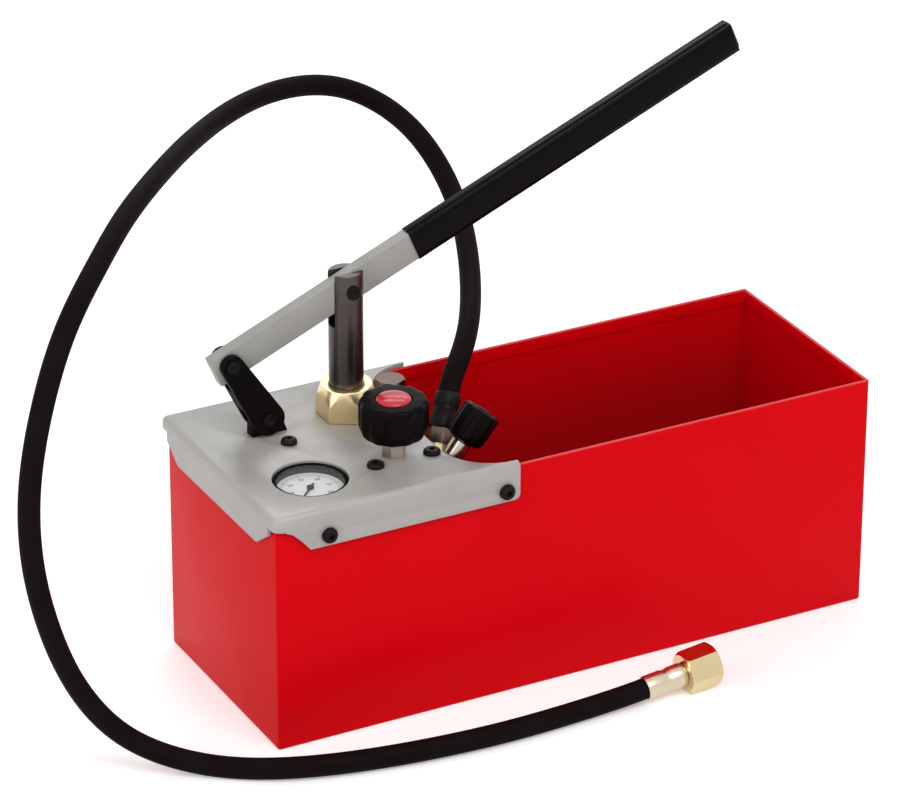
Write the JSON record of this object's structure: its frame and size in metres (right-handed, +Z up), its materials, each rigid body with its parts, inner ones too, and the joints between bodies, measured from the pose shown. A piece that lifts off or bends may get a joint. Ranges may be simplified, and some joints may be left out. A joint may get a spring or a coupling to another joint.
{
  "type": "hydrostatic test pump",
  "caption": "Hand lever test pump on an open water tank, with gauge, shut-off and relief valves, and a hose with a union nut.",
  "frame": {"origin": "centre of the tank's underside, on the floor it stands on", "axes": "+X along the tank, away from the pump end; +Y to the tank's back wall; +Z up"},
  "size_m": [0.6313, 0.3909, 0.413],
  "materials": {
    "red_paint": "glossy red powder coat",
    "grey_paint": "satin light grey coat",
    "black_screws": "black oxide",
    "zinc": "zinc plated",
    "brass": "machined",
    "fibre": "pressed fibre packing",
    "rubber": "matt black rubber",
    "black_iron": "black",
    "nickel": "nickel plated",
    "black_plastic": "moulded black",
    "dial_white": "white dial",
    "lens": "clear window",
    "black_ferrule": "black crimped ferrule",
    "dark_steel": "dark oiled ground steel",
    "bright_steel": "bright drawn steel",
    "red_cap": "glossy red"
  },
  "bodies": {
    "base": {"tank": "red_paint", "cover_plate": "grey_paint", "flange_screw_front_left": "black_screws", "flange_screw_front_right": "black_screws", "flange_screw_back_left": "black_screws", "flange_screw_back_right": "black_screws", "flange_nut_front_left": "zinc", "flange_nut_front_right": "zinc", "flange_nut_back_left": "zinc", "flange_nut_back_right": "zinc", "valve_block": "brass", "block_screw_1": "black_screws", "block_screw_2": "black_screws", "block_screw_3": "black_screws", "gland_nut": "brass", "gland_packing": "fibre", "pump_cylinder": "brass", "foot_valve": "brass", "suction_strainer": "zinc", "link_bracket": "black_iron", "bracket_screw_front": "black_screws", "bracket_screw_back": "black_screws", "link_foot_pin": "black_screws", "link_foot_pin_clip": "black_screws", "shutoff_neck": "nickel", "relief_neck": "nickel", "gauge_case": "black_plastic", "gauge_bezel": "black_plastic", "gauge_dial": "dial_white", "gauge_lens": "lens", "gauge_stem": "brass", "hex_plug": "nickel", "hose_nipple": "zinc", "hose_ferrule": "black_ferrule", "hose": "rubber", "union_ferrule": "zinc", "union_tail": "zinc", "union_washer": "fibre"},
    "ram": {"ram": "dark_steel", "piston_seal": "rubber", "fork_pin": "black_screws", "fork_pin_clip": "black_screws"},
    "lever": {"lever": "grey_paint", "lever_grip": "black_plastic"},
    "link": {"link": "black_iron", "link_top_pin": "black_screws", "link_top_pin_clip": "black_screws"},
    "shutoff_knob": {"shutoff_knob": "black_plastic", "shutoff_cap": "red_cap", "shutoff_spindle": "bright_steel"},
    "relief_knob": {"relief_knob": "black_plastic", "relief_cap": "black_plastic", "relief_spindle": "bright_steel"},
    "gauge_needle": {"gauge_needle": "black_plastic"},
    "union_nut": {"union_nut": "brass"},
    "suction_ball": {"suction_ball": "bright_steel"},
    "delivery_ball": {"delivery_ball": "bright_steel"}
  },
  "joints": [
    {"name": "ram_slide", "type": "slide", "parent": "base", "child": "ram", "axis": [0, 0, 1], "range_m": [-0.028, 0.028]},
    {"name": "lever_swing", "type": "hinge", "parent": "ram", "child": "lever", "pos_m": [-0.119, 0.0325, 0.273], "axis": [0, -1, 0], "range_deg": [-14.3, 14.3]},
    {"name": "link_swing", "type": "hinge", "parent": "base", "child": "link", "pos_m": [-0.182, 0.0325, 0.1905], "axis": [0, -1, 0], "range_deg": [-12.4, 12.4]},
    {"name": "shutoff_turn", "type": "hinge", "parent": "base", "child": "shutoff_knob", "pos_m": [-0.119, -0.0385, 0.1925], "axis": [0, 0, 1], "range_deg": [0, 330]},
    {"name": "relief_turn", "type": "hinge", "parent": "base", "child": "relief_knob", "pos_m": [-0.07, -0.0458, 0.1801], "axis": [0.6157, 0, 0.788], "range_deg": [0, 330]},
    {"name": "needle_turn", "type": "hinge", "parent": "base", "child": "gauge_needle", "pos_m": [-0.1843, -0.0437, 0.17], "axis": [0, 0, -1], "range_deg": [0, 270], "stiffness_Nm_per_rad": 0.00002},
    {"name": "union_spin", "type": "hinge", "parent": "base", "child": "union_nut", "pos_m": [0.0205, -0.141, 0.0107], "axis": [0.995, 0.03, 0.095], "continuous": true},
    {"name": "suction_ball_lift", "type": "slide", "parent": "base", "child": "suction_ball", "axis": [0, 0, 1], "range_m": [0, 0.002]},
    {"name": "delivery_ball_lift", "type": "slide", "parent": "base", "child": "delivery_ball", "axis": [0, 0, 1], "range_m": [0, 0.002]}
  ],
  "couplings": [
    {"joint": "lever_swing", "follows": "ram_slide", "rad_per_m": 8.82},
    {"joint": "link_swing", "follows": "ram_slide", "rad_per_m": -7.59}
  ]
}
